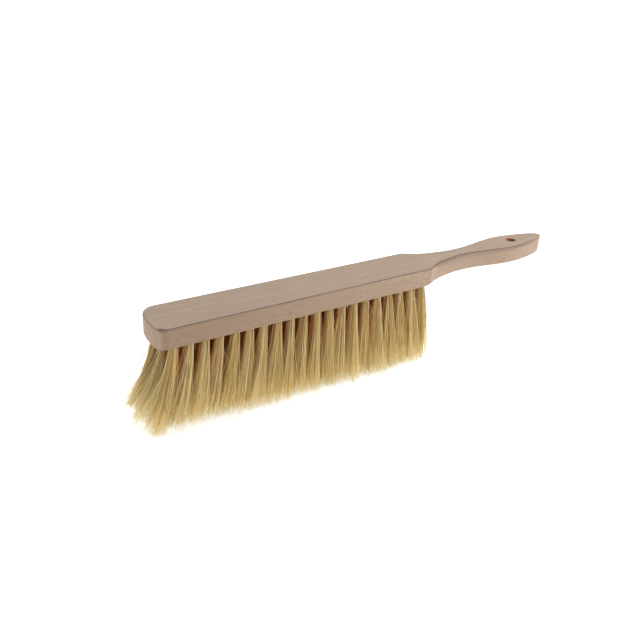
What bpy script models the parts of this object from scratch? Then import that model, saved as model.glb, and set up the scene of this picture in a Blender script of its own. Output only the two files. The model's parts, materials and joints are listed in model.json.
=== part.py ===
"""Bee brush: a one-piece beech block and handle with three rows of bristle tufts.

Metres, +Z up. The origin is the centre of the block's flat back. +X runs along the
block towards the handle, +Y is across it, and the bristles hang down from the
underside. Each row of tufts hangs on an empty whose X axis is the line the row
flexes about, at the mouths of its holes.
"""

from math import atan, cos, degrees, radians, sin, tan

import bmesh
import bpy
import numpy as np
from mathutils import Vector

MM = 0.001

# Block and handle, one board of constant thickness
THICKNESS = 15.6 * MM
BLOCK_LENGTH = 248.2 * MM
BLOCK_WIDTH = 41.4 * MM
NEAR_CORNER_RADIUS = 8.4 * MM
FAR_CORNER_RADIUS = 13.2 * MM
NOSE_BOW = 0.6 * MM
NOSE_SLANT = 0.075  # the end is cut a little out of square: its far side stands back
HANDLE_LENGTH = 159.9 * MM
SHOULDER_ANGLE = -39.5
NECK_WIDTH = 16.8 * MM
NECK_FROM_SHOULDER = 49.0 * MM
SWELL_WIDTH = 30.6 * MM
SWELL_FROM_SHOULDER = 107.8 * MM
BLOCK_ARRIS = 0.7 * MM
TOP_ROUNDOVER = 3.0 * MM
UNDERSIDE_ROUNDOVER = 2.3 * MM
TIP_ROUNDOVER = 1.2 * MM
ROUNDOVER_RUN_IN = 0.12  # share of the handle over which the round grows from the arris

# Hanging hole through the handle
HANGING_HOLE_RADIUS = 4.7 * MM
HANGING_HOLE_FROM_TIP = 41.0 * MM

# Bristle holes, drilled blind from the underside
ROWS = {"near": -1, "middle": 0, "far": 1}
ROW_SPACING = 14.2 * MM
TUFTS_PER_ROW = 20
TUFT_PITCH = 12.0 * MM
FIRST_TUFT_FROM_NOSE = 13.7 * MM
SOCKET_RADIUS = 3.4 * MM
SOCKET_DEPTH = 9.0 * MM
SOCKET_SIDES = 12

# Tufts. The trim line runs a little out of parallel, so the bristles are longer by the handle
TUFT_SIDES = 8
NOSE_FREE_LENGTH = 65.5 * MM
HANDLE_FREE_LENGTH = 71.5 * MM
TUFT_TIP_HALF_X = 5.6 * MM
TUFT_TIP_HALF_Y = 6.2 * MM
# Depth below the underside, half width along X, half width along Y
TUFT_ROOT_STATIONS = (
    (14.0 * MM, 4.3 * MM, 4.5 * MM),
    (0.0, 2.75 * MM, 2.75 * MM),
    (-4.0 * MM, 1.1 * MM, 1.1 * MM),
)
# Lean along X in degrees, against the share of the row from nose to handle
LEAN_SHARES = (0.0, 0.10, 0.30, 0.50, 0.70, 0.85, 1.0)
LEANS = (-17.0, -14.0, -10.0, -6.0, -2.0, 1.0, 4.0)
OUTWARD_SPLAY = radians(3.5)
# The two tufts at the centre of the middle row are one solid, joined by a web at the tips
JOINED_PAIR = (10, 11)
WEB_HEIGHT = 8.0 * MM
WEB_WIDTH = 5.0 * MM

NOSE_X = -BLOCK_LENGTH / 2
SHOULDER_X = BLOCK_LENGTH / 2
TIP_X = SHOULDER_X + HANDLE_LENGTH
UNDERSIDE_Z = -THICKNESS


def clear_scene():
    for old in list(bpy.data.objects):
        bpy.data.objects.remove(old)


def new_collection(name):
    collection = bpy.data.collections.new(name)
    bpy.context.scene.collection.children.link(collection)
    return collection


def new_object(name, data, collection, parent=None, location=(0.0, 0.0, 0.0)):
    thing = bpy.data.objects.new(name, data)
    collection.objects.link(thing)
    thing.parent = parent
    thing.location = location
    return thing


def plain_material(name, colour, roughness):
    material = bpy.data.materials.new(name)
    material.use_nodes = True
    shader = material.node_tree.nodes["Principled BSDF"]
    shader.inputs["Base Color"].default_value = (*colour, 1.0)
    shader.inputs["Roughness"].default_value = roughness
    shader.inputs["Metallic"].default_value = 0.0
    return material


def side_knots(corner, slant):
    """Knots of one long side, nose corner to handle: (x, y, direction, reach back, reach on)."""
    half = BLOCK_WIDTH / 2
    corner_y = half - corner
    corner_x = NOSE_X + NOSE_BOW + slant * corner_y
    corner_direction = 86.0 - degrees(atan(slant))
    arc_reach = 0.55 * corner
    return [
        (corner_x, corner_y, corner_direction, 3.0 * MM, arc_reach),
        (corner_x + corner, half, 0.0, arc_reach, 5.0 * MM),
        (SHOULDER_X - 1.1 * MM, half, 0.0, 5.0 * MM, 0.6 * MM),
        (SHOULDER_X, half - 0.5 * MM, SHOULDER_ANGLE, 0.6 * MM, 8.0 * MM),
        (SHOULDER_X + NECK_FROM_SHOULDER, NECK_WIDTH / 2, 0.0, 18.3 * MM, 24.0 * MM),
        (SHOULDER_X + SWELL_FROM_SHOULDER, SWELL_WIDTH / 2, 0.0, 18.8 * MM, 13.4 * MM),
        (TIP_X - 8.2 * MM, 7.0 * MM, -27.5, 8.0 * MM, 2.7 * MM),
    ]


def outline_knots():
    """The closed outline: nose, far side, tip, then the near side back to the nose."""
    nose = (NOSE_X, 0.0, 90.0 - degrees(atan(NOSE_SLANT)), 4.0 * MM, 4.0 * MM)
    tip = (TIP_X, 0.0, -90.0, 3.2 * MM, 3.2 * MM)
    far = side_knots(FAR_CORNER_RADIUS, NOSE_SLANT)
    near = side_knots(NEAR_CORNER_RADIUS, -NOSE_SLANT)
    returning = [(x, -y, 180.0 - turn, on, back) for x, y, turn, back, on in reversed(near)]
    return [nose, *far, tip, *returning]


def board_outline():
    """The outline as a flat, closed Bezier curve with the board's thickness."""
    knots = outline_knots()
    curve = bpy.data.curves.new("board_outline", "CURVE")
    curve.dimensions = "2D"
    curve.fill_mode = "BOTH"
    curve.extrude = THICKNESS / 2
    curve.resolution_u = 7
    spline = curve.splines.new("BEZIER")
    spline.use_cyclic_u = True
    spline.bezier_points.add(len(knots) - 1)
    for point, (x, y, turn, back, on) in zip(spline.bezier_points, knots):
        along = Vector((cos(radians(turn)), sin(radians(turn)), 0.0))
        point.handle_left_type = "FREE"
        point.handle_right_type = "FREE"
        point.co = Vector((x, y, 0.0))
        point.handle_left = point.co - along * back
        point.handle_right = point.co + along * on
    return curve


def roundover_at(x, on_top):
    """Width of the rounded edge: a fine arris on the block, a wide round on the handle."""
    if x < SHOULDER_X:
        return BLOCK_ARRIS
    along = (x - SHOULDER_X) / HANDLE_LENGTH
    full = TOP_ROUNDOVER if on_top else UNDERSIDE_ROUNDOVER
    full += along**4 * (TIP_ROUNDOVER - full)
    rise = min(1.0, along / ROUNDOVER_RUN_IN)
    return BLOCK_ARRIS + rise * (full - BLOCK_ARRIS)


def board_mesh(collection):
    """The outline made a welded mesh, with its rim edges weighted for the Bevel."""
    curve_object = new_object("board_outline", board_outline(), collection)
    bpy.context.view_layer.update()
    evaluated = curve_object.evaluated_get(bpy.context.evaluated_depsgraph_get())
    mesh = bpy.data.meshes.new_from_object(evaluated)
    mesh.name = "handle_block"
    bpy.data.objects.remove(curve_object)
    bm = bmesh.new()
    bm.from_mesh(mesh)
    bmesh.ops.remove_doubles(bm, verts=bm.verts, dist=0.00001)
    bmesh.ops.dissolve_limit(bm, angle_limit=radians(0.05), verts=bm.verts, edges=bm.edges)
    bmesh.ops.recalc_face_normals(bm, faces=bm.faces)
    weights = bm.edges.layers.float.new("bevel_weight_edge")
    for edge in bm.edges:
        level = abs(edge.verts[0].co.z - edge.verts[1].co.z) < 0.1 * MM
        if level and edge.calc_face_angle(0.0) > radians(45.0):
            middle = (edge.verts[0].co + edge.verts[1].co) / 2
            edge[weights] = roundover_at(middle.x, middle.z > 0.0) / TOP_ROUNDOVER
    bm.to_mesh(mesh)
    bm.free()
    return mesh


def tuft_x(number):
    return NOSE_X + FIRST_TUFT_FROM_NOSE + (number - 1) * TUFT_PITCH


def socket_cutter(collection):
    """One cutter holding every bristle hole."""
    bm = bmesh.new()
    overshoot = 1.0 * MM
    for side in ROWS.values():
        for number in range(1, TUFTS_PER_ROW + 1):
            made = bmesh.ops.create_cone(
                bm,
                cap_ends=True,
                segments=SOCKET_SIDES,
                radius1=SOCKET_RADIUS,
                radius2=SOCKET_RADIUS,
                depth=SOCKET_DEPTH + overshoot,
            )
            height = UNDERSIDE_Z + (SOCKET_DEPTH - overshoot) / 2
            place = Vector((tuft_x(number), side * ROW_SPACING, height))
            bmesh.ops.translate(bm, verts=made["verts"], vec=place)
    mesh = bpy.data.meshes.new("socket_cutter")
    bm.to_mesh(mesh)
    bm.free()
    return as_cutter(new_object("socket_cutter", mesh, collection))


def hanging_hole_cutter(collection):
    bm = bmesh.new()
    bmesh.ops.create_cone(
        bm,
        cap_ends=True,
        segments=32,
        radius1=HANGING_HOLE_RADIUS,
        radius2=HANGING_HOLE_RADIUS,
        depth=2 * THICKNESS,
    )
    mesh = bpy.data.meshes.new("hanging_hole_cutter")
    bm.to_mesh(mesh)
    bm.free()
    place = (TIP_X - HANGING_HOLE_FROM_TIP, 0.0, -THICKNESS / 2)
    return as_cutter(new_object("hanging_hole_cutter", mesh, collection, location=place))


def as_cutter(cutter):
    cutter.hide_render = True
    cutter.display_type = "WIRE"
    return cutter


def cut(target, cutter):
    boolean = target.modifiers.new("cut_" + cutter.name, "BOOLEAN")
    boolean.operation = "DIFFERENCE"
    boolean.solver = "EXACT"
    boolean.object = cutter


def handle_block(collection, cutters, material):
    """The one-piece block and handle, with its rounded edges, sockets and hanging hole."""
    mesh = board_mesh(collection)
    mesh.materials.append(material)
    place = (0.0, 0.0, -THICKNESS / 2)
    board = new_object("handle_block", mesh, collection, location=place)
    bevel = board.modifiers.new("rounded_edges", "BEVEL")
    bevel.limit_method = "WEIGHT"
    bevel.width = TOP_ROUNDOVER
    bevel.segments = 3
    cut(board, socket_cutter(cutters))
    cut(board, hanging_hole_cutter(cutters))
    mesh.shade_smooth()
    mesh.set_sharp_from_angle(angle=radians(35.0))
    return board


def row_share(number):
    return (number - 1) / (TUFTS_PER_ROW - 1)


def free_length(number):
    """How far a tuft's bristles hang below the underside."""
    return NOSE_FREE_LENGTH + row_share(number) * (HANDLE_FREE_LENGTH - NOSE_FREE_LENGTH)


def lean_along(number):
    """How far a tuft leans along X: out over the nose, and a little towards the handle."""
    return radians(np.interp(row_share(number), LEAN_SHARES, LEANS))


def tuft_mesh(name, length, lean_x, lean_y):
    """A cylinder with a ring at each station: a tapered root, then a spreading bundle."""
    stations = ((length, TUFT_TIP_HALF_X, TUFT_TIP_HALF_Y), *TUFT_ROOT_STATIONS)
    bm = bmesh.new()
    spans = len(stations) - 1
    bmesh.ops.create_cone(
        bm, cap_ends=True, segments=TUFT_SIDES, radius1=1.0, radius2=1.0, depth=spans
    )
    uprights = [e for e in bm.edges if abs(e.verts[0].co.z - e.verts[1].co.z) > 0.5]
    bmesh.ops.subdivide_edges(bm, edges=uprights, cuts=spans - 1)
    for vert in bm.verts:
        depth, half_x, half_y = stations[round(vert.co.z + spans / 2)]
        out = max(depth, 0.0)
        vert.co.x = vert.co.x * half_x + out * tan(lean_x)
        vert.co.y = vert.co.y * half_y + out * tan(lean_y)
        vert.co.z = -depth
    mesh = bpy.data.meshes.new(name)
    bm.to_mesh(mesh)
    bm.free()
    mesh.shade_smooth()
    mesh.set_sharp_from_angle(angle=radians(50.0))
    return mesh


def tuft(name, number, side, collection, hinge, material):
    """One tuft, its origin at the mouth of its hole."""
    mesh = tuft_mesh(name, free_length(number), lean_along(number), side * OUTWARD_SPLAY)
    mesh.materials.append(material)
    place = (tuft_x(number), 0.0, 0.0)
    return new_object(name, mesh, collection, parent=hinge, location=place)


def join_pair(first, second, cutters):
    """Makes one body of two neighbouring tufts, with a web between their tips."""
    bm = bmesh.new()
    bmesh.ops.create_cube(bm, size=1.0)
    bmesh.ops.scale(bm, verts=bm.verts, vec=Vector((TUFT_PITCH, WEB_WIDTH, WEB_HEIGHT)))
    mesh = bpy.data.meshes.new("tip_web")
    bm.to_mesh(mesh)
    bm.free()
    length = free_length(JOINED_PAIR[0])
    between = first.location.x + TUFT_PITCH / 2 + length * tan(lean_along(JOINED_PAIR[0]))
    place = (between, 0.0, 0.7 * WEB_HEIGHT - length)
    web = as_cutter(new_object("tip_web", mesh, cutters, parent=first.parent, location=place))
    as_cutter(second)
    for other in (web, second):
        union = first.modifiers.new("join_" + other.name, "BOOLEAN")
        union.operation = "UNION"
        union.solver = "EXACT"
        union.object = other


def build():
    clear_scene()
    brush = new_collection("bee_brush")
    cutters = new_collection("cutters")
    beech = plain_material("beech", (0.55, 0.40, 0.28), 0.55)
    bristle = plain_material("bristle", (0.42, 0.30, 0.14), 0.60)

    handle_block(brush, cutters, beech)
    for row, side in ROWS.items():
        hinge_place = (0.0, side * ROW_SPACING, UNDERSIDE_Z)
        hinge = new_object(row + "_row_flex_axis", None, brush, location=hinge_place)
        hinge.empty_display_size = 10.0 * MM
        for number in range(1, TUFTS_PER_ROW + 1):
            if row == "middle" and number in JOINED_PAIR:
                continue
            tuft(f"tuft_{row}_{number:02d}", number, side, brush, hinge, bristle)
        if row == "middle":
            pair_name = "tuft_middle_{:02d}_{:02d}".format(*JOINED_PAIR)
            first = tuft(pair_name, JOINED_PAIR[0], side, brush, hinge, bristle)
            second = tuft("second_of_pair", JOINED_PAIR[1], side, cutters, hinge, bristle)
            join_pair(first, second, cutters)


build()
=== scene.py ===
"""The looks of the bee brush: bare beech board, hanging hole and loose natural bristle.

Metres, +Z up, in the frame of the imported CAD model. The origin is the centre of the
block's flat back, +X runs to the handle's tip and the bristles hang towards -Z.
"""

import json
from math import asin, atan, cos, degrees, exp, pi, radians, sin, sqrt

import bmesh
import bpy
import numpy as np
from mathutils import Matrix, Vector


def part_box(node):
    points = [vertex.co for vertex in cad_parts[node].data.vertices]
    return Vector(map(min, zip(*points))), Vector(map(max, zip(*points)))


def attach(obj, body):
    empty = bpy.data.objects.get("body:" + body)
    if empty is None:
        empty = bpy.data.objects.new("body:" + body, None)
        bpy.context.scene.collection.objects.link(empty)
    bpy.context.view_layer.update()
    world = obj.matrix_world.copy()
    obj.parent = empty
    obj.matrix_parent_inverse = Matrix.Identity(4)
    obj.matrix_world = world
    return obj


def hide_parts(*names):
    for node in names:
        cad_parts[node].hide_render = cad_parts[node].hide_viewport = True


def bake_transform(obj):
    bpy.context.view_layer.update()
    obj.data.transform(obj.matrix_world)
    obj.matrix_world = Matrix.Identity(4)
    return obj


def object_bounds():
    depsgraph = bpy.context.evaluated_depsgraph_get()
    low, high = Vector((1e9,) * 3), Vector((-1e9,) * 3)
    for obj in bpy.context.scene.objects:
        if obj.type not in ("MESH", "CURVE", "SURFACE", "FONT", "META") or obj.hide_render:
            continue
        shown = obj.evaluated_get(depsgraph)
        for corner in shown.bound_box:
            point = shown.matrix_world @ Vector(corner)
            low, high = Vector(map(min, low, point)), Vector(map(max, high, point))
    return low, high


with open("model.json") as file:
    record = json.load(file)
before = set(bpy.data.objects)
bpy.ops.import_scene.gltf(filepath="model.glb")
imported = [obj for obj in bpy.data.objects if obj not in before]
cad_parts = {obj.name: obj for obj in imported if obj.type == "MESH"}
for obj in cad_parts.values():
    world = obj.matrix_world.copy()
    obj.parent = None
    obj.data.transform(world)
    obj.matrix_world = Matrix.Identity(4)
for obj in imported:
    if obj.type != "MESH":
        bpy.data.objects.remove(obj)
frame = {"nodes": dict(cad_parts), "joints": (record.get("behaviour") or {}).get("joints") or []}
cad_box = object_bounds()

MM = 0.001
SEED = 20

# Places taken from the frame
BOARD_LOW, BOARD_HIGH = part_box("handle_block")
BACK_Z = BOARD_HIGH.z
UNDERSIDE_Z = BOARD_LOW.z
TIP_X = BOARD_HIGH.x
HALF_WIDTH = BOARD_HIGH.y
LOWEST_Z = cad_box[0][2]

# The board's outline; the origin is the middle of the block. Directions are in degrees from
# +X, and the nose corner's is taken before the nose's slant.
HANDLE_LENGTH = 159.9 * MM
SHOULDER_X = TIP_X - HANDLE_LENGTH
NOSE_X = -SHOULDER_X
NEAR_CORNER_RADIUS = 8.4 * MM
FAR_CORNER_RADIUS = 13.2 * MM
NOSE_BOW = 0.6 * MM
NOSE_SLANT = 0.075
CORNER_DIRECTION = 86.0
SHOULDER_ANGLE = -39.5
NECK_FROM_SHOULDER = 49.0 * MM
NECK_HALF_WIDTH = 8.4 * MM
SWELL_FROM_SHOULDER = 107.8 * MM
SWELL_HALF_WIDTH = 15.3 * MM
TIP_CORNER_BACK = 8.2 * MM
TIP_CORNER_HALF_WIDTH = 7.0 * MM
TIP_CORNER_ANGLE = -27.5
OUTLINE_STEP = 1.2 * MM
MOST_STEPS = 24

# Its edges: how far in and how far down each round goes, and over what length past the
# shoulder the block's sharp arris opens into the handle's rounds
BLOCK_ARRIS = 1.0 * MM
TOP_ROUND_IN = 2.5 * MM
TOP_ROUND_DOWN = 3.7 * MM
UNDERSIDE_ROUND = 2.3 * MM
TIP_ROUND = 1.1 * MM
TOP_RUN_IN = 18.0 * MM
UNDERSIDE_RUN_IN = 9.0 * MM
# The sanded facet on the near top corner of the nose, and the worn lower corners of the shoulder
CORNER_FACET = 2.6 * MM
CORNER_FACET_REACH = 3.0 * MM
CORNER_FACET_MIDDLE = Vector((NOSE_X + 3.0 * MM, -HALF_WIDTH + 1.5 * MM))
SHOULDER_FACET = 1.5 * MM
SHOULDER_FACET_REACH = 2.4 * MM
SHOULDER_FACET_HEIGHT = 4.0 * MM
# Extra rows of the mesh: past a round, as a multiple of its depth, and on the flat faces
ROUND_CLEARANCE = 1.5
LOWER_ROWS = (0.0, 1.1 * MM, 2.3 * MM)
SUPPORT_INSET = 0.5 * MM
# Faces at least this level are shaded flat
LEVEL_NORMAL_Z = 0.9999
SHARP_ANGLE = radians(40.0)

# Section of a round, flat to side, in degrees, and how deep the burnish is at each
TOP_TURNS = (0.0, 7.0, 20.0, 38.0, 56.0, 73.0, 90.0)
TOP_BURNISH = (0.0, 0.85, 1.0, 0.95, 0.72, 0.38, 0.10)
UNDERSIDE_TURNS = (0.0, 22.0, 45.0, 68.0, 90.0)
# Strength of the burnish on the top arris, and how much the handle and its tip lose
BLOCK_BURNISH = 0.85
NOSE_BURNISH = 0.34
NOSE_BURNISH_LENGTH = 9.0 * MM
NEAR_CORNER_CLEARANCE = 3.0 * MM
HANDLE_BURNISH_LOSS = 0.10
TIP_BURNISH_LOSS = 0.62
# The handle is rubbed further down its side than the block
RUBBED_ROUND = 0.20
RUBBED_SIDE = 0.08

HANGING_HOLE_RADIUS = 4.7 * MM
HANGING_HOLE_X = TIP_X - 41.0 * MM

# Bristle holes and tufts
SOCKET_RADIUS = 3.4 * MM
SOCKET_DEPTH = 9.0 * MM
SOCKET_SIDES = 20
HANGING_HOLE_SIDES = 48
DRILL_OVERSHOOT = 1.0 * MM
TUFT_PITCH = 12.0 * MM
TUFTS_PER_ROW = 20
FIRST_TUFT_X = NOSE_X + 13.7 * MM
ROW_Y = {joint["child"]: joint["pos_m"][1] for joint in frame["joints"]}
NEAR_ROW_Y = ROW_Y["near_row"]
OUTER_ROW_Y = max(ROW_Y.values())

# Turn from one spot of a spiral to the next, in radians, then how far the spots are drawn in
# and the standard deviation of their nudge
GOLDEN_ANGLE = 2.39996
SPOT_SHRINK = 0.9
SPOT_NUDGE = 0.07

# Bristles: how many and how thick, then the tuft's size in its hole, how far along the
# bristle its mouth counts as, and the tuft's size at its tips
STRANDS = 330
STRAND_RINGS = 10
STRAND_SIDES = 3
STRAND_RADIUS = 0.16 * MM
THICKNESS_RANGE = (0.75, 1.25)
TAPER_ALONG = (0.0, 0.5, 1.0)
TAPER = (1.0, 0.92, 0.38)
ROOT_SPREAD = 3.15 * MM
ROOT_DEPTH = 7.0 * MM
ROOT_PINCH = 0.93
MOUTH_ALONG = 0.05
TIP_HALF_X = 10.0 * MM
TIP_HALF_Y = 8.4 * MM
# Lean along X in degrees, against the share of the row from nose to handle
LEAN_SHARES = (0.0, 0.10, 0.30, 0.50, 0.70, 0.85, 1.0)
LEANS = (-17.0, -14.0, -10.0, -6.0, -2.0, 1.0, 3.0)
OUTWARD_SPLAY = 3.5
# Shares of the row, from either end, that hold its end tuft and its loose tufts, and the
# share at the handle end whose tufts open early
END_SHARE = 0.03
LOOSE_SHARE = 0.10
EARLY_SHARE = 0.20
# What sets the end tufts apart
FIRST_TUFT_NARROWING = 0.85
FIRST_TUFT_EXTRA = 2.5 * MM
LAST_TUFT_NARROWING = 0.95
LAST_INNER_LEAN = 9.5
# Locks of bristle: how many, how far each spreads for its even share of the tuft, and the
# standard deviations from lock to lock, tuft to tuft and bristle to bristle. Leans are in
# degrees and the tuft's size is a share.
LOCKS = 15
LOCK_SIZE_AT_ROOT = 1.2
LOCK_SIZE_AT_TIP = 1.25
LOCK_LEAN_SPREAD = 0.9
LOCK_LENGTH_SPREAD = 1.1 * MM
LOCK_TINT_SPREAD = 0.14
TUFT_SIZE_SPREAD = 0.06
TUFT_LEAN_SPREAD = 1.0
TIP_SCATTER = 1.6 * MM
LENGTH_SPREAD = 0.9 * MM
SHORTFALL = 1.5 * MM
TINT_SPREAD = 0.32
MEAN_TINT = 0.45
# A few bristles are pale and stout
PALE_SHARE = 0.08
PALE_THICKENING = 1.2
# The tips of a lock draw together over the last part of the bristle
GATHER = 1.1
GATHER_FROM = 0.55
# How strongly a bristle bends and opens out at its mouth, and the gain from there to its tip
EVEN_BEND = (0.5, 1.0)
EARLY_BEND = (1.3, -0.6)
LATE_BEND = (0.3, 1.4)
EVEN_OPENING = (0.7, 0.6)
EARLY_OPENING = (1.4, -0.8)
# Each bristle waves a little: the range of radians of wave along it, and the scale, also in
# radians, of the gamma distribution that its size is drawn from
WAVE_RATES = (3.0, 9.0)
WAVE_SIZE = 0.008
# Bristles that stand out of their tuft. Leans are in degrees; near the ends of the row they
# gain a factor and a least outward lean.
STRAY_SHARE = 0.035
LOOSE_STRAY_SHARE = 0.085
STRAY_LEAN = 7.0
WILD_SHARE = 0.14
WILD_LEANING = 3.4
NOSE_STRAY_GAIN = 1.5
HANDLE_STRAY_GAIN = 1.3
LEAST_OUTWARD_LEAN = 3.0
OUTWARD_SHARE = 0.8
MOST_STRAY_LEAN_X = 17.0
MOST_STRAY_LEAN_Y = 4.5
STRAY_SHORTFALL = 4.0 * MM
STRAY_THINNING = 0.8
LEAST_STRAY_TINT = 0.6
# Painted red-brown shade at the roots of bristles deep in the brush, standing in for the shade
# between the tufts: its strength at the tuft's middle, and its loss out to the rim
MIDDLE_PAINTED_SHADE = 0.75
PAINTED_SHADE_LOSS = 0.9


# ---------------------------------------------------------------- node helpers

def new_material(name):
    material = bpy.data.materials.new(name)
    material.use_nodes = True
    tree = material.node_tree
    return material, tree, tree.nodes["Principled BSDF"]


def add_node(tree, kind, **values):
    node = tree.nodes.new(kind)
    for name, value in values.items():
        if name in node.inputs:
            node.inputs[name].default_value = value
        else:
            setattr(node, name, value)
    return node


def stretched_noise(tree, source, lengths, detail=2.0, roughness=0.5, offset=(0.0, 0.0, 0.0)):
    """Noise whose grains are as long as lengths, in metres, along X, Y and Z."""
    mapping = add_node(tree, "ShaderNodeMapping")
    mapping.inputs["Scale"].default_value = [1.0 / length for length in lengths]
    mapping.inputs["Location"].default_value = offset
    noise = add_node(tree, "ShaderNodeTexNoise", Scale=1.0, Detail=detail, Roughness=roughness)
    tree.links.new(source, mapping.inputs["Vector"])
    tree.links.new(mapping.outputs["Vector"], noise.inputs["Vector"])
    return noise.outputs["Fac"]


def ramp(tree, source, stops):
    """A colour ramp of (position, (r, g, b)) stops."""
    node = add_node(tree, "ShaderNodeValToRGB")
    elements = node.color_ramp.elements
    while len(elements) < len(stops):
        elements.new(0.5)
    for element, (position, colour) in zip(elements, stops):
        element.position = position
        element.color = (*colour, 1.0)
    tree.links.new(source, node.inputs["Fac"])
    return node.outputs["Color"]


def mapped(tree, source, low, high, to_low=0.0, to_high=1.0):
    node = add_node(tree, "ShaderNodeMapRange")
    node.inputs["From Min"].default_value = low
    node.inputs["From Max"].default_value = high
    node.inputs["To Min"].default_value = to_low
    node.inputs["To Max"].default_value = to_high
    tree.links.new(source, node.inputs["Value"])
    return node.outputs["Result"]


def mixed(tree, share, first, second, blend="MIX"):
    """Mixes two colours; either may be a socket or plain (r, g, b)."""
    node = add_node(tree, "ShaderNodeMix", data_type="RGBA", blend_type=blend)
    colour_inputs = [s for s in node.inputs if s.type == "RGBA"]
    colour_output = next(s for s in node.outputs if s.type == "RGBA")
    for socket, value in zip(colour_inputs, (first, second)):
        if isinstance(value, tuple):
            socket.default_value = (*value, 1.0)
        else:
            tree.links.new(value, socket)
    if isinstance(share, float):
        node.inputs[0].default_value = share
    else:
        tree.links.new(share, node.inputs[0])
    return colour_output


def arithmetic(tree, operation, first, second):
    node = add_node(tree, "ShaderNodeMath", operation=operation)
    for socket, value in zip(node.inputs, (first, second)):
        if isinstance(value, float):
            socket.default_value = value
        else:
            tree.links.new(value, socket)
    return node.outputs[0]


def bump(tree, shader, height, distance, strength):
    node = add_node(tree, "ShaderNodeBump", Distance=distance, Strength=strength)
    tree.links.new(height, node.inputs["Height"])
    tree.links.new(node.outputs["Normal"], shader.inputs["Normal"])


# ------------------------------------------------------------------- materials

# How long the grain of each part of the figure is along X, Y and Z
BAND_GRAIN = (110.0 * MM, 5.5 * MM, 12.0 * MM)
STREAK_GRAIN = (26.0 * MM, 1.1 * MM, 1.4 * MM)
PORE_GRAIN = (5.0 * MM, 0.34 * MM, 0.50 * MM)
FLECK_GRAIN = (3.4 * MM, 0.60 * MM, 0.42 * MM)
SHEEN_GRAIN = (30.0 * MM, 4.0 * MM, 4.0 * MM)
DRILL_GRAIN = (6.0 * MM, 6.0 * MM, 0.4 * MM)
FLECK_SLANT = radians(14.0)

# Colours are linear
BAND_COLOURS = ((0.30, (0.334, 0.246, 0.177)), (0.72, (0.388, 0.291, 0.214)))
STREAK_COLOUR = (0.255, 0.188, 0.138)
# Painted shade on the sides, partly their own browner tone
SIDE_SHADE_COLOUR = (0.170, 0.095, 0.038)
PORE_COLOUR = (0.220, 0.150, 0.105)
FLECK_COLOUR = (0.175, 0.105, 0.068)
END_COLOUR = (0.290, 0.178, 0.118)
BURNISH_COLOUR = (0.28, 0.21, 0.17)
SCORCHED_COLOURS = ((0.3, (0.25, 0.070, 0.028)), (0.7, (0.36, 0.115, 0.050)))
# Along the bristle from root to tip: darker near the mouth, partly painted shade under the block, and
# palest at the tip, partly painted light through the thin tips
LENGTH_COLOURS = (
    (0.00, (0.440, 0.220, 0.060)),
    (0.10, (0.515, 0.375, 0.148)),
    (0.24, (0.625, 0.485, 0.188)),
    (0.60, (0.735, 0.573, 0.215)),
    (0.84, (1.000, 0.780, 0.315)),
    (1.00, (1.000, 0.920, 0.560)),
)
OWN_COLOURS = (
    (0.00, (0.500, 0.270, 0.050)),
    (0.30, (0.665, 0.463, 0.130)),
    (0.65, (0.765, 0.612, 0.280)),
    (1.00, (0.920, 0.840, 0.600)),
)
# Painted red-brown shade for the roots deep in the brush
PAINTED_SHADE_COLOUR = (0.560, 0.165, 0.025)


def separated(tree, vector):
    """The X, Y and Z of a vector socket."""
    node = add_node(tree, "ShaderNodeSeparateXYZ")
    tree.links.new(vector, node.inputs["Vector"])
    return node.outputs


def attribute(tree, name):
    return add_node(tree, "ShaderNodeAttribute", attribute_name=name).outputs["Fac"]


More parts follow.
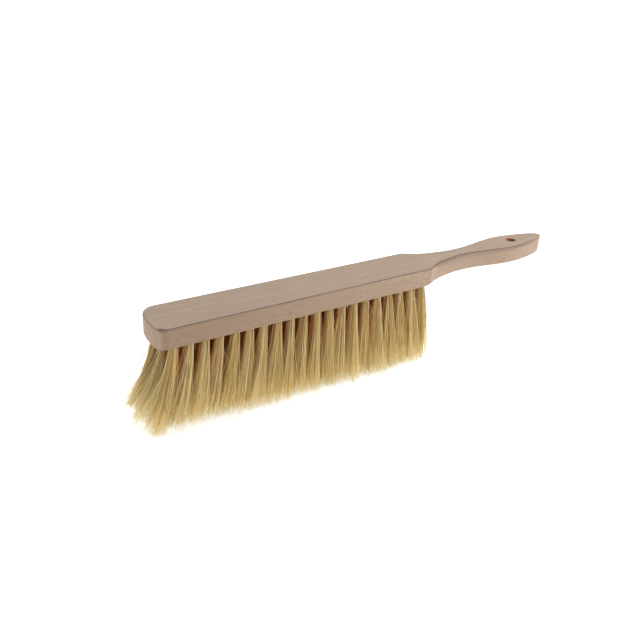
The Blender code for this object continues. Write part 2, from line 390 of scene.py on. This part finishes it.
def beech_material():
    """Bare beech: pale tan, faint long bands, fine pores, short dark ray flecks. The sides are
    browner than the back, partly with painted shade that deepens towards the nose, and the end grain
    is darker."""
    material, tree, shader = new_material("beech")
    place = add_node(tree, "ShaderNodeTexCoord").outputs["Object"]
    facing = separated(tree, add_node(tree, "ShaderNodeNewGeometry").outputs["Normal"])
    side_on = arithmetic(tree, "ABSOLUTE", facing["Y"], 0.0)
    end_on = arithmetic(tree, "ABSOLUTE", facing["X"], 0.0)

    bands = stretched_noise(tree, place, BAND_GRAIN, detail=3.0)
    wood = ramp(tree, bands, BAND_COLOURS)
    streaks = stretched_noise(tree, place, STREAK_GRAIN, offset=(5.0, 2.0, 8.0))
    wood = mixed(tree, mapped(tree, streaks, 0.42, 0.75, 0.0, 0.75), wood, STREAK_COLOUR)
    # Painted shade on the sides, strongest at the nose and fading towards the handle
    side_shade_by_x = mapped(tree, separated(tree, place)["X"], NOSE_X, SHOULDER_X, 1.30, 0.88)
    painted_side_shade = arithmetic(tree, "MULTIPLY", mapped(tree, side_on, 0.60, 0.95, 0.0, 0.55), side_shade_by_x)
    wood = mixed(tree, painted_side_shade, wood, SIDE_SHADE_COLOUR)
    pores = stretched_noise(tree, place, PORE_GRAIN)
    wood = mixed(tree, mapped(tree, pores, 0.35, 0.75, 0.0, 0.44), wood, PORE_COLOUR)
    slanted = add_node(tree, "ShaderNodeVectorRotate", rotation_type="Y_AXIS", Angle=FLECK_SLANT)
    tree.links.new(place, slanted.inputs["Vector"])
    flecks = stretched_noise(
        tree, slanted.outputs["Vector"], FLECK_GRAIN, detail=0.5, offset=(3.0, 7.0, 1.0)
    )
    fleck_share = mapped(tree, side_on, 0.3, 0.9, 0.28, 0.78)
    fleck_mask = arithmetic(tree, "MULTIPLY", mapped(tree, flecks, 0.60, 0.70), fleck_share)
    wood = mixed(tree, fleck_mask, wood, FLECK_COLOUR)

    wood = mixed(tree, mapped(tree, end_on, 0.70, 0.98, 0.0, 0.70), wood, END_COLOUR)
    wood = mixed(tree, attribute(tree, "burnish"), wood, BURNISH_COLOUR, "MULTIPLY")
    tree.links.new(wood, shader.inputs["Base Color"])

    sheen = stretched_noise(tree, place, SHEEN_GRAIN)
    tree.links.new(mapped(tree, sheen, 0.3, 0.7, 0.50, 0.62), shader.inputs["Roughness"])
    shader.inputs["Specular IOR Level"].default_value = 0.5
    bump(tree, shader, pores, 0.08 * MM, 0.3)
    return material


def bored_wood_material():
    """The wall of a drilled hole: scorched, reddish brown end grain with drill rings."""
    material, tree, shader = new_material("bored_wood")
    place = add_node(tree, "ShaderNodeTexCoord").outputs["Object"]
    rings = stretched_noise(tree, place, DRILL_GRAIN)
    tree.links.new(ramp(tree, rings, SCORCHED_COLOURS), shader.inputs["Base Color"])
    shader.inputs["Roughness"].default_value = 0.7
    bump(tree, shader, rings, 0.1 * MM, 0.5)
    return material


def bristle_material():
    """Golden bristle, brown in its hole, darker near its mouth with partly painted shade under the
    block, and palest at the tip with partly painted light through the thin tips. Deep in the brush
    the roots carry painted red-brown shade."""
    material, tree, shader = new_material("bristle")
    along = attribute(tree, "along")
    strand = attribute(tree, "strand")
    # The colour along the bristle holds partly painted shade near the mouth and partly painted light
    # at the tip
    colour = mixed(tree, 0.5, ramp(tree, along, LENGTH_COLOURS), ramp(tree, strand, OWN_COLOURS))
    # Painted red-brown shade on the roots deep in the brush, fading out along the bristle
    near_root = mapped(tree, along, 0.30, 0.80, 0.95, 0.0)
    painted_shade = arithmetic(tree, "MULTIPLY", attribute(tree, "depth"), near_root)
    colour = mixed(tree, painted_shade, colour, PAINTED_SHADE_COLOUR)
    tree.links.new(colour, shader.inputs["Base Color"])
    tree.links.new(mapped(tree, strand, 0.0, 1.0, 0.36, 0.52), shader.inputs["Roughness"])
    shader.inputs["Specular IOR Level"].default_value = 0.4
    return material


def floor_material():
    """A matt, nearly white floor; its soft glow keeps the shadow under the brush pale."""
    material, tree, shader = new_material("floor")
    place = add_node(tree, "ShaderNodeTexCoord").outputs["Object"]
    mottle = stretched_noise(tree, place, FLOOR_MOTTLE, detail=3.0)
    tone = ramp(tree, mottle, ((0.3, (0.90, 0.90, 0.90)), (0.7, (0.93, 0.93, 0.93))))
    tree.links.new(tone, shader.inputs["Base Color"])
    shader.inputs["Roughness"].default_value = 0.9
    shader.inputs["Specular IOR Level"].default_value = 0.1
    seen = add_node(tree, "ShaderNodeLightPath").outputs["Is Camera Ray"]
    shader.inputs["Emission Color"].default_value = (1.0, 1.0, 1.0, 1.0)
    glow = mapped(tree, seen, 0.0, 1.0, FLOOR_BOUNCE, FLOOR_GLOW)
    tree.links.new(glow, shader.inputs["Emission Strength"])
    return material


# ----------------------------------------------------------------------- board

def side_knots(corner, slant):
    """Knots of one long side, nose corner to handle: (x, y, direction, reach back, reach on).
    The reaches are how far the curve's handles lie from the knot on either side."""
    corner_y = HALF_WIDTH - corner
    corner_x = NOSE_X + NOSE_BOW + slant * corner_y
    corner_direction = CORNER_DIRECTION - degrees(atan(slant))
    arc_reach = 0.55 * corner
    return [
        (corner_x, corner_y, corner_direction, 3.0 * MM, arc_reach),
        (corner_x + corner, HALF_WIDTH, 0.0, arc_reach, 5.0 * MM),
        (SHOULDER_X - 1.1 * MM, HALF_WIDTH, 0.0, 5.0 * MM, 0.6 * MM),
        (SHOULDER_X, HALF_WIDTH - 0.5 * MM, SHOULDER_ANGLE, 0.6 * MM, 8.0 * MM),
        (SHOULDER_X + NECK_FROM_SHOULDER, NECK_HALF_WIDTH, 0.0, 18.3 * MM, 24.0 * MM),
        (SHOULDER_X + SWELL_FROM_SHOULDER, SWELL_HALF_WIDTH, 0.0, 18.8 * MM, 13.4 * MM),
        (TIP_X - TIP_CORNER_BACK, TIP_CORNER_HALF_WIDTH, TIP_CORNER_ANGLE, 8.0 * MM, 2.7 * MM),
    ]


def outline_knots():
    """The closed outline: nose, far side, tip, then the near side back to the nose."""
    nose = (NOSE_X, 0.0, 90.0 - degrees(atan(NOSE_SLANT)), 4.0 * MM, 4.0 * MM)
    tip = (TIP_X, 0.0, -90.0, 3.2 * MM, 3.2 * MM)
    far = side_knots(FAR_CORNER_RADIUS, NOSE_SLANT)
    near = side_knots(NEAR_CORNER_RADIUS, -NOSE_SLANT)
    returning = [(x, -y, 180.0 - turn, on, back) for x, y, turn, back, on in reversed(near)]
    return [nose, *far, tip, *returning]


def outline():
    """Points round the board and the outward normal at each."""
    points, normals = [], []
    knots = outline_knots()
    for first, second in zip(knots, knots[1:] + knots[:1]):
        start = np.array(first[:2])
        end = np.array(second[:2])
        leaving = np.array((cos(radians(first[2])), sin(radians(first[2]))))
        arriving = np.array((cos(radians(second[2])), sin(radians(second[2]))))
        pull_on = start + leaving * first[4]
        pull_back = end - arriving * second[3]
        steps = int(min(MOST_STEPS, max(2, np.linalg.norm(end - start) // OUTLINE_STEP)))
        for share in np.arange(steps) / steps:
            rest = 1.0 - share
            place = rest**3 * start + 3 * rest * rest * share * pull_on
            points.append(place + 3 * rest * share * share * pull_back + share**3 * end)
            slope = rest * rest * (pull_on - start) + 2 * rest * share * (pull_back - pull_on)
            slope += share * share * (end - pull_back)
            slope /= np.linalg.norm(slope)
            normals.append((-slope[1], slope[0]))
    return points, normals


def round_at(x, y, top):
    """How far in and down the rounded edge goes, and how strongly it is burnished."""
    inward = down = BLOCK_ARRIS
    burnish = BLOCK_BURNISH
    if x > SHOULDER_X:
        along = (x - SHOULDER_X) / HANDLE_LENGTH
        full_in, full_down = (TOP_ROUND_IN, TOP_ROUND_DOWN) if top else (UNDERSIDE_ROUND,) * 2
        full_in += (TIP_ROUND - full_in) * along**5
        full_down += (TIP_ROUND - full_down) * along**5
        rise = min(1.0, (x - SHOULDER_X) / (TOP_RUN_IN if top else UNDERSIDE_RUN_IN))
        rise = rise * rise * (3.0 - 2.0 * rise)
        inward += (full_in - BLOCK_ARRIS) * rise
        down += (full_down - BLOCK_ARRIS) * rise
        burnish -= HANDLE_BURNISH_LOSS * rise + TIP_BURNISH_LOSS * along**7
    elif x < NOSE_X + NOSE_BURNISH_LENGTH and y > -HALF_WIDTH + NEAR_CORNER_CLEARANCE:
        burnish = NOSE_BURNISH
    if top:
        away = (Vector((x, y)) - CORNER_FACET_MIDDLE).length / CORNER_FACET_REACH
        facet = (CORNER_FACET - BLOCK_ARRIS) * exp(-away * away)
        inward += facet
        down += facet
    return inward, down, burnish if top else 0.0


def section(point, normal):
    """One upright section of the board's rim, underside to back: (x, y, z, burnish).
    The shoulder's lower corners are worn back towards the middle of the block."""
    rows = []
    corner = (SHOULDER_X, HALF_WIDTH if point[1] > 0.0 else -HALF_WIDTH)
    away = np.linalg.norm(point - corner) / SHOULDER_FACET_REACH
    worn = SHOULDER_FACET * exp(-away * away)
    inwards = np.array((-0.8, -0.6 if point[1] > 0.0 else 0.6))

    def add(inset, z, burnish):
        low = max(0.0, 1.0 - (z - UNDERSIDE_Z) / SHOULDER_FACET_HEIGHT)
        x, y = point - np.array(normal) * inset + inwards * worn * low * low
        rows.append((x, y, z, burnish))

    inward, down, _ = round_at(point[0], point[1], False)
    add(inward + SUPPORT_INSET, UNDERSIDE_Z, 0.0)
    for turn in UNDERSIDE_TURNS:
        add(inward * (1.0 - sin(radians(turn))), UNDERSIDE_Z + down * (1.0 - cos(radians(turn))), 0.0)
    for rise in LOWER_ROWS:
        add(0.0, UNDERSIDE_Z + ROUND_CLEARANCE * down + rise, 0.0)
    inward, down, burnish = round_at(point[0], point[1], True)
    along = max(0.0, point[0] - SHOULDER_X) / HANDLE_LENGTH
    rubbed = min(1.0, along * HANDLE_LENGTH / TOP_RUN_IN) * (1.0 - along**7)
    add(0.0, BACK_Z - ROUND_CLEARANCE * down, RUBBED_SIDE * rubbed)
    for turn, depth in reversed(list(zip(TOP_TURNS, TOP_BURNISH))):
        inset = inward * (1.0 - sin(radians(turn)))
        depth += (1.0 - depth) * RUBBED_ROUND * rubbed * sin(radians(turn)) ** 2
        add(inset, BACK_Z - down * (1.0 - cos(radians(turn))), depth * burnish)
    add(inward + SUPPORT_INSET, BACK_Z, 0.0)
    return rows


def board_mesh():
    points, normals = outline()
    bm = bmesh.new()
    burnish_layer = bm.verts.layers.float.new("burnish")
    columns = []
    for point, normal in zip(points, normals):
        column = []
        for x, y, z, burnish in section(point, normal):
            vert = bm.verts.new((x, y, z))
            vert[burnish_layer] = burnish
            column.append(vert)
        columns.append(column)
    for here, there in zip(columns, columns[1:] + columns[:1]):
        for level in range(len(here) - 1):
            bm.faces.new((here[level], here[level + 1], there[level + 1], there[level]))
    bm.faces.new([column[-1] for column in columns])
    bm.faces.new([column[0] for column in columns])
    bmesh.ops.recalc_face_normals(bm, faces=bm.faces)
    mesh = bpy.data.meshes.new("beech_board")
    bm.to_mesh(mesh)
    bm.free()
    mesh.shade_smooth()
    return mesh


def cylinder_cutter(name, places, radius, low, high, sides, material):
    """Upright cylinders at places, as one hidden cutting object."""
    bm = bmesh.new()
    for x, y in places:
        made = bmesh.ops.create_cone(
            bm, cap_ends=True, segments=sides, radius1=radius, radius2=radius, depth=high - low
        )
        middle = Vector((x, y, (low + high) / 2))
        bmesh.ops.translate(bm, verts=made["verts"], vec=middle)
    mesh = bpy.data.meshes.new(name)
    bm.to_mesh(mesh)
    bm.free()
    mesh.materials.append(material)
    cutter = bpy.data.objects.new(name, mesh)
    bpy.context.scene.collection.objects.link(cutter)
    cutter.hide_render = True
    return cutter


def tuft_places():
    return [
        (body, number, FIRST_TUFT_X + (number - 1) * TUFT_PITCH, y)
        for body, y in ROW_Y.items()
        for number in range(1, TUFTS_PER_ROW + 1)
    ]


def beech_board(wood, bored):
    """The one-piece block and handle, drilled from below and through the handle."""
    board = bpy.data.objects.new("beech_board", board_mesh())
    bpy.context.scene.collection.objects.link(board)
    board.data.materials.append(wood)
    sockets = cylinder_cutter(
        "socket_drill",
        [(x, y) for _, _, x, y in tuft_places()],
        SOCKET_RADIUS,
        UNDERSIDE_Z - DRILL_OVERSHOOT,
        UNDERSIDE_Z + SOCKET_DEPTH,
        SOCKET_SIDES,
        bored,
    )
    hanging = cylinder_cutter(
        "hanging_drill",
        [(HANGING_HOLE_X, 0.0)],
        HANGING_HOLE_RADIUS,
        UNDERSIDE_Z - DRILL_OVERSHOOT,
        BACK_Z + DRILL_OVERSHOOT,
        HANGING_HOLE_SIDES,
        bored,
    )
    for drill in (sockets, hanging):
        boolean = board.modifiers.new(drill.name, "BOOLEAN")
        boolean.operation = "DIFFERENCE"
        boolean.solver = "EXACT"
        boolean.material_mode = "TRANSFER"
        boolean.object = drill
    evaluated = board.evaluated_get(bpy.context.evaluated_depsgraph_get())
    drilled = bpy.data.meshes.new_from_object(evaluated)
    board.modifiers.clear()
    board.data = drilled
    drilled.name = "beech_board"
    for drill in (sockets, hanging):
        bpy.data.objects.remove(drill)
    drilled.shade_smooth()
    drilled.set_sharp_from_angle(angle=SHARP_ANGLE)
    for face in drilled.polygons:
        face.use_smooth = abs(face.normal.z) < LEVEL_NORMAL_Z
    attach(board, "block")
    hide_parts("handle_block")
    return board


# --------------------------------------------------------------------- bristles

def disc(rng, count):
    """Points spread evenly over a unit disc."""
    radius = np.sqrt(rng.random(count))
    turn = rng.random(count) * 2.0 * pi
    return np.stack((radius * np.cos(turn), radius * np.sin(turn)), 1)


def sunflower(rng, count):
    """Points set out evenly over a unit disc in a spiral, each nudged a little."""
    steps = np.arange(count) + 0.5
    radius = np.sqrt(steps / count)
    turn = steps * GOLDEN_ANGLE + rng.random() * 2.0 * pi
    spots = np.stack((radius * np.cos(turn), radius * np.sin(turn)), 1)
    return spots * SPOT_SHRINK + rng.normal(0.0, SPOT_NUDGE, (count, 2))


def row_share(x):
    """Where a tuft stands in its row, from 0 at the nose to 1 at the handle."""
    return (x - FIRST_TUFT_X) / ((TUFTS_PER_ROW - 1) * TUFT_PITCH)


def is_loose(share):
    """Whether the tuft is one of those at either end of the row, which shed more strays."""
    return share < LOOSE_SHARE or share > 1.0 - LOOSE_SHARE


def draw_locks(rng):
    """The place, lean, extra length and tint of the lock that each bristle is in."""
    lock = rng.integers(0, LOCKS, STRANDS)
    spot = sunflower(rng, LOCKS)
    lean = rng.normal(0.0, LOCK_LEAN_SPREAD, (LOCKS, 2))
    length = rng.normal(0.0, LOCK_LENGTH_SPREAD, LOCKS)
    tint = rng.normal(0.0, LOCK_TINT_SPREAD, LOCKS)
    return spot[lock], lean[lock], length[lock], tint[lock]


def roots_and_tips(rng, lock_spot, own_spot, share):
    """Where bristles leave the hole and where they head for, both from the tuft's middle,
    and the tuft's half size at its tips. Each spot is given within its lock."""
    root = (lock_spot + own_spot * LOCK_SIZE_AT_ROOT) * ROOT_SPREAD
    over = np.maximum(np.linalg.norm(root, axis=1) / ROOT_SPREAD, 1.0)
    root /= over[:, None]
    half = np.array((TIP_HALF_X, TIP_HALF_Y)) * rng.normal(1.0, TUFT_SIZE_SPREAD, 2)
    if share > 1.0 - END_SHARE:
        half[0] *= LAST_TUFT_NARROWING
    elif share < END_SHARE:
        half[0] *= FIRST_TUFT_NARROWING
    tip = (lock_spot + own_spot * LOCK_SIZE_AT_TIP) * half
    tip += rng.normal(0.0, TIP_SCATTER, (STRANDS, 2))
    return root, tip, half


def tuft_lean(rng, y, share):
    """One tuft's lean in degrees along X and Y."""
    lean = np.array((np.interp(share, LEAN_SHARES, LEANS), OUTWARD_SPLAY * y / OUTER_ROW_Y))
    if share > 1.0 - END_SHARE and y > NEAR_ROW_Y:
        lean[0] += LAST_INNER_LEAN
    lean += rng.normal(0.0, TUFT_LEAN_SPREAD, 2)
    return lean


def strength(law, down):
    """A law of (value at the mouth, gain to the tip) at each ring; every law averages 1."""
    start, gain = law
    return start + gain * down


def bend_law(y, share):
    """The law by which a tuft's lean builds up."""
    if share > 1.0 - END_SHARE:
        return EARLY_BEND
    if share < END_SHARE and y > NEAR_ROW_Y:
        return LATE_BEND
    return EVEN_BEND


def waves(rng, down):
    """A slow wave in each bristle, in radians along X and Y."""
    turn = rng.random((STRANDS, 2)) * 2.0 * pi
    rate = rng.uniform(*WAVE_RATES, (STRANDS, 2))
    size = rng.gamma(2.0, WAVE_SIZE, (STRANDS, 2))
    return size[:, None, :] * np.sin(turn[:, None, :] + rate[:, None, :] * down[None, :, None])


def stray_leans(rng, count, share):
    """Extra leans, in degrees along X and Y, of the few bristles that stand out of a tuft.
    At the nose they all lean outwards, and at the handle most of them do."""
    reach = rng.normal(0.0, STRAY_LEAN, (count, 2))
    reach[:, 0] *= np.where(rng.random(count) < WILD_SHARE, WILD_LEANING, 1.0)
    outward = np.abs(reach[:, 0])
    if share < LOOSE_SHARE:
        reach[:, 0] = -np.minimum(outward * NOSE_STRAY_GAIN + LEAST_OUTWARD_LEAN, MOST_STRAY_LEAN_X)
    elif share > 1.0 - LOOSE_SHARE:
        direction = np.where(rng.random(count) < OUTWARD_SHARE, 1.0, -1.0)
        reach[:, 0] = direction * (outward * HANDLE_STRAY_GAIN + LEAST_OUTWARD_LEAN)
    reach[:, 1] = np.clip(reach[:, 1], -MOST_STRAY_LEAN_Y, MOST_STRAY_LEAN_Y)
    return reach


def bent_paths(root, angle, length):
    """Runs each bristle on from its root, at its angles from straight down at each ring."""
    step = length / (STRAND_RINGS - 2)
    middle = np.sin((angle[:, 1:] + angle[:, :-1]) / 2.0)
    run = np.empty((STRANDS, STRAND_RINGS - 2, 3))
    run[:, :, :2] = middle
    run[:, :, 2] = -np.sqrt(np.maximum(1.0 - (middle**2).sum(2), 0.05))
    run *= step[:, None, None]

    path = np.empty((STRANDS, STRAND_RINGS, 3))
    path[:, 0, :2] = root * ROOT_PINCH
    path[:, 0, 2] = UNDERSIDE_Z + ROOT_DEPTH
    path[:, 1, :2] = root
    path[:, 1, 2] = UNDERSIDE_Z
    path[:, 2:] = path[:, 1:2] + np.cumsum(run, axis=1)
    return path


def strand_paths(rng, x, y, free_length):
    """Centre lines of one tuft's bristles, as (strand, ring, xyz), how far along each ring
    is, each bristle's tint, and which of them stray. Bristles gather in locks, and each
    lock has its own lean, length and tint."""
    share = row_share(x)
    down = np.linspace(0.0, 1.0, STRAND_RINGS - 1)
    lock_spot, lock_lean, lock_length, lock_tint = draw_locks(rng)
    own_spot = disc(rng, STRANDS) / sqrt(LOCKS)
    root, tip, half = roots_and_tips(rng, lock_spot, own_spot, share)
    spread = (tip - root) / free_length
    if share < END_SHARE:
        free_length += FIRST_TUFT_EXTRA

    opening = strength(EARLY_OPENING if share > 1.0 - EARLY_SHARE else EVEN_OPENING, down)
    gathering = np.clip((down - GATHER_FROM) / (1.0 - GATHER_FROM), 0.0, 1.0)
    lean = tuft_lean(rng, y, share)[None, :] * strength(bend_law(y, share), down)[:, None]
    angle = np.radians(lean[None, :, :] + lock_lean[:, None, :] * down[None, :, None])
    angle += spread[:, None, :] * opening[None, :, None]
    angle -= (GATHER * own_spot * half / free_length)[:, None, :] * gathering[None, :, None]
    angle += waves(rng, down)

    length = free_length + lock_length + rng.normal(0.0, LENGTH_SPREAD, STRANDS)
    length -= np.abs(rng.normal(0.0, SHORTFALL, STRANDS))
    stray_share = LOOSE_STRAY_SHARE if is_loose(share) else STRAY_SHARE
    stray = np.flatnonzero(rng.random(STRANDS) < stray_share)
    extra = np.radians(stray_leans(rng, len(stray), share))
    angle[stray] += extra[:, None, :] * strength(LATE_BEND, down)[None, :, None]
    length[stray] -= rng.random(len(stray)) * STRAY_SHORTFALL

    path = bent_paths(root, angle, length)
    path[:, :, :2] += np.array((x, y))
    along = np.concatenate(([0.0], MOUTH_ALONG + (1.0 - MOUTH_ALONG) * down))
    tint = np.clip(MEAN_TINT + lock_tint + rng.normal(0.0, TINT_SPREAD, STRANDS), 0.0, 1.0)
    tint[rng.random(STRANDS) < PALE_SHARE] = 1.0
    return path, np.tile(along, (STRANDS, 1)), tint, stray


def strand_tubes(path, radius):
    """Closed three-sided tubes round the paths: vertices and faces."""
    count, rings, _ = path.shape
    run = np.gradient(path, axis=1)
    run /= np.linalg.norm(run, axis=2, keepdims=True)
    side = np.cross(run, np.array((0.0, 1.0, 0.0)))
    side /= np.linalg.norm(side, axis=2, keepdims=True)
    other = np.cross(run, side)
    verts = np.empty((count, rings, STRAND_SIDES, 3))
    for corner in range(STRAND_SIDES):
        turn = 2.0 * pi * corner / STRAND_SIDES
        verts[:, :, corner] = path + radius[..., None] * (cos(turn) * side + sin(turn) * other)
    ids = np.arange(count * rings * STRAND_SIDES).reshape(count, rings, STRAND_SIDES)
    turned = np.roll(ids, -1, axis=2)
    walls = np.stack((ids[:, :-1], turned[:, :-1], turned[:, 1:], ids[:, 1:]), -1).reshape(-1, 4)
    caps = np.concatenate((ids[:, 0, ::-1], ids[:, -1]))
    return verts.reshape(-1, 3), walls, caps


def mesh_from(name, verts, walls, caps):
    mesh = bpy.data.meshes.new(name)
    mesh.vertices.add(len(verts))
    mesh.vertices.foreach_set("co", verts.astype(np.float32).ravel())
    loops = np.concatenate((walls.ravel(), caps.ravel())).astype(np.int32)
    sizes = np.concatenate((np.full(len(walls), 4), np.full(len(caps), 3))).astype(np.int32)
    starts = np.concatenate(([0], np.cumsum(sizes)[:-1])).astype(np.int32)
    mesh.loops.add(len(loops))
    mesh.loops.foreach_set("vertex_index", loops)
    mesh.polygons.add(len(sizes))
    mesh.polygons.foreach_set("loop_start", starts)
    mesh.update(calc_edges=True)
    mesh.validate()
    mesh.shade_smooth()
    return mesh


def point_values(mesh, name, values):
    layer = mesh.attributes.new(name, "FLOAT", "POINT")
    layer.data.foreach_set("value", values.astype(np.float32).ravel())


def node_of(row, number):
    """The CAD node of a tuft; two tufts of the middle row share one."""
    node = f"tuft_{row}_{number:02d}"
    if node in frame["nodes"]:
        return node
    return next(n for n in frame["nodes"] if n.startswith(f"tuft_{row}_") and f"{number:02d}" in n)


def painted_shade_in_brush(root, y, number):
    """How much painted shade a bristle's root gets: 0 for bristles on the outside of the brush, up to
    1 for those that face its inside.
    """
    outside = root[:, 1] * y / OUTER_ROW_Y
    if number == 1:
        outside = np.maximum(outside, -root[:, 0])
    elif number == TUFTS_PER_ROW:
        outside = np.maximum(outside, root[:, 0])
    return np.clip(MIDDLE_PAINTED_SHADE - PAINTED_SHADE_LOSS * outside, 0.0, 1.0)


def bristle_tuft(rng, body, number, x, y, material):
    """One tuft of loose bristles, leaning and opening out from its hole."""
    row = body.removesuffix("_row")
    node = node_of(row, number)
    tip_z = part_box(node)[0].z
    free_length = UNDERSIDE_Z - tip_z
    path, along, tint, stray = strand_paths(rng, x, y, free_length)
    own = rng.uniform(*THICKNESS_RANGE, STRANDS)
    own[tint == 1.0] *= PALE_THICKENING
    own[stray] *= STRAY_THINNING
    tint[stray] = np.maximum(tint[stray], LEAST_STRAY_TINT)
    # Painted red-brown shade for the roots deep in the brush, kept in the depth attribute; strays get
    # none
    depth = painted_shade_in_brush((path[:, 1, :2] - (x, y)) / ROOT_SPREAD, y, number)
    depth[stray] = 0.0
    radius = STRAND_RADIUS * own[:, None] * np.interp(along, TAPER_ALONG, TAPER)

    name = f"bristles_{row}_{number:02d}"
    mesh = mesh_from(name, *strand_tubes(path, radius))
    point_values(mesh, "along", np.repeat(along, STRAND_SIDES, axis=1))
    point_values(mesh, "strand", np.repeat(tint, STRAND_RINGS * STRAND_SIDES))
    point_values(mesh, "depth", np.repeat(depth, STRAND_RINGS * STRAND_SIDES))
    mesh.materials.append(material)
    tuft = bpy.data.objects.new(name, mesh)
    bpy.context.scene.collection.objects.link(tuft)
    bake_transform(tuft)
    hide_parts(node)


# ----------------------------------------------------------------------- studio

CAMERA_AZIMUTH = radians(35.67)
CAMERA_ELEVATION = radians(25.38)
# How much the picture's rightward direction climbs, from which the roll follows
CAMERA_CLIMB = 0.0495
CAMERA_ROLL = asin(CAMERA_CLIMB / cos(CAMERA_ELEVATION))
CAMERA_DISTANCE = 581.0 * MM
CAMERA_LENS = 41.1
SENSOR_WIDTH = 36.0
AIM = Vector((NOSE_X + 142.7 * MM, 0.35 * MM, UNDERSIDE_Z - 13.1 * MM))
WORLD_STRENGTH = 0.78
BACKDROP_STRENGTH = 1.05
FLOOR_GLOW = 0.55
FLOOR_BOUNCE = 0.45
FLOOR_MOTTLE = (0.30, 0.30, 0.30)
FLOOR_GAP = 2.0 * MM
FLOOR_HALF_SIZE = 6.0
# Soft square lights: name, place, what they are aimed at, size, watts, colour
PANELS = (
    ("key", (0.47, -0.43, 0.19), (SHOULDER_X, 0.0, UNDERSIDE_Z), 0.34, 2.45, (1.0, 0.99, 0.97)),
    ("top", (0.25, 0.10, 1.00), (0.1, 0.0, 0.0), 0.80, 4.2, (1.0, 1.0, 1.0)),
    ("fill", (-0.48, -0.10, -0.03), (NOSE_X, 0.0, UNDERSIDE_Z - 0.04), 0.20, 0.15, (1.0, 0.98, 0.92)),
)


def add_camera():
    """The camera over the near side and the nose, a little rolled."""
    back = Vector(
        (
            -sin(CAMERA_AZIMUTH) * cos(CAMERA_ELEVATION),
            -cos(CAMERA_AZIMUTH) * cos(CAMERA_ELEVATION),
            sin(CAMERA_ELEVATION),
        )
    )
    level = Vector((0.0, 0.0, 1.0)).cross(back).normalized()
    upright = back.cross(level)
    right = level * cos(CAMERA_ROLL) + upright * sin(CAMERA_ROLL)
    up = back.cross(right)
    camera = bpy.data.objects.new("camera", bpy.data.cameras.new("camera"))
    bpy.context.scene.collection.objects.link(camera)
    camera.data.sensor_width = SENSOR_WIDTH
    camera.data.lens = CAMERA_LENS
    camera.data.clip_start = 0.01
    turn = Matrix((right, up, back)).transposed().to_4x4()
    camera.matrix_world = Matrix.Translation(AIM + back * CAMERA_DISTANCE) @ turn
    bpy.context.scene.camera = camera


def add_panel(name, place, aim, size, power, colour):
    """A square soft light at place, aimed at aim."""
    light = bpy.data.objects.new(name, bpy.data.lights.new(name, "AREA"))
    bpy.context.scene.collection.objects.link(light)
    light.data.size = size
    light.data.energy = power
    light.data.color = colour
    light.location = place
    light.rotation_mode = "QUATERNION"
    light.rotation_quaternion = (Vector(place) - Vector(aim)).to_track_quat("Z", "Y")


def add_floor(material):
    bm = bmesh.new()
    bmesh.ops.create_grid(bm, x_segments=8, y_segments=8, size=FLOOR_HALF_SIZE)
    mesh = bpy.data.meshes.new("floor")
    bm.to_mesh(mesh)
    bm.free()
    mesh.materials.append(material)
    floor = bpy.data.objects.new("floor", mesh)
    floor.location.z = LOWEST_Z - FLOOR_GAP
    bpy.context.scene.collection.objects.link(floor)


def add_world():
    world = bpy.data.worlds.new("studio")
    world.use_nodes = True
    background = world.node_tree.nodes["Background"]
    background.inputs["Color"].default_value = (1.0, 1.0, 1.0, 1.0)
    tree = world.node_tree
    seen = add_node(tree, "ShaderNodeLightPath").outputs["Is Camera Ray"]
    strength = mapped(tree, seen, 0.0, 1.0, WORLD_STRENGTH, BACKDROP_STRENGTH)
    tree.links.new(strength, background.inputs["Strength"])
    bpy.context.scene.world = world


def main():
    beech_board(beech_material(), bored_wood_material())
    bristle = bristle_material()
    rng = np.random.default_rng(SEED)
    for body, number, x, y in tuft_places():
        bristle_tuft(rng, body, number, x, y, bristle)
    add_floor(floor_material())
    add_world()
    for panel in PANELS:
        add_panel(*panel)
    add_camera()
    bpy.context.scene.view_settings.view_transform = "Standard"


main()
